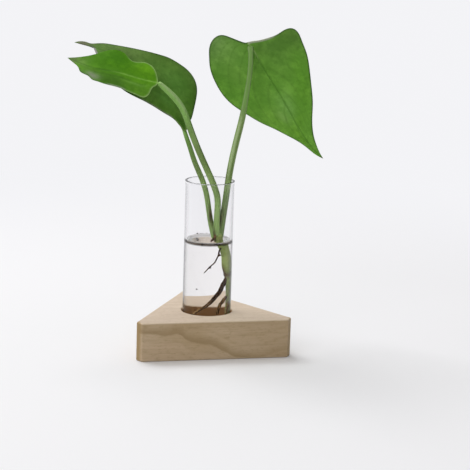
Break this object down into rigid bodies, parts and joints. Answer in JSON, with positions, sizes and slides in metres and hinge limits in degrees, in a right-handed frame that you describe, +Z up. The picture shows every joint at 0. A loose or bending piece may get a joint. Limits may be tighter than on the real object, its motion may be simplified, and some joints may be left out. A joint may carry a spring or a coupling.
{
  "type": "propagation vase",
  "caption": "Clear glass tube standing in a triangular wooden block, holding water and a rooting vine cutting with heart-shaped leaves; tube and cutting lift out.",
  "frame": {"origin": "middle of the wooden block's underside, on the axis of the tube", "axes": "+Z up along the tube's axis, -Y out of the block's long front face, +X to the right seen from that face"},
  "size_m": [0.1331, 0.0693, 0.1667],
  "materials": {
    "wood": "sanded, unvarnished",
    "clear_glass": "clear, fire-polished rim",
    "water": "clear liquid",
    "stem": "green living stem, satin",
    "stalk": "green living stalk, satin",
    "leaf_bright": "waxy leaf, satin",
    "leaf_dark": "waxy leaf, satin",
    "leaf_under": "waxy leaf, satin",
    "root": "wet brown root",
    "dry_sheath": "withered brown sheath"
  },
  "bodies": {
    "base": {"wood_base": "wood"},
    "tube": {"glass_tube": "clear_glass", "water": "water"},
    "cutting": {"vine_stem": "stem", "petiole_left_front": "stalk", "petiole_left_back": "stalk", "petiole_right": "stalk", "leaf_left_front": "leaf_bright", "leaf_left_back": "leaf_dark", "leaf_right": "leaf_under", "root_main": "root", "root_upper": "root", "root_lower_a": "root", "root_lower_b": "root", "dry_sheath": "dry_sheath"}
  },
  "joints": [
    {"name": "tube_lift", "type": "slide", "parent": "base", "child": "tube", "axis": [0, 0, 1], "range_m": [0, 0.04]},
    {"name": "cutting_lift", "type": "slide", "parent": "tube", "child": "cutting", "axis": [0, 0, 1], "range_m": [0, 0.085], "deforming": ["water"]}
  ]
}
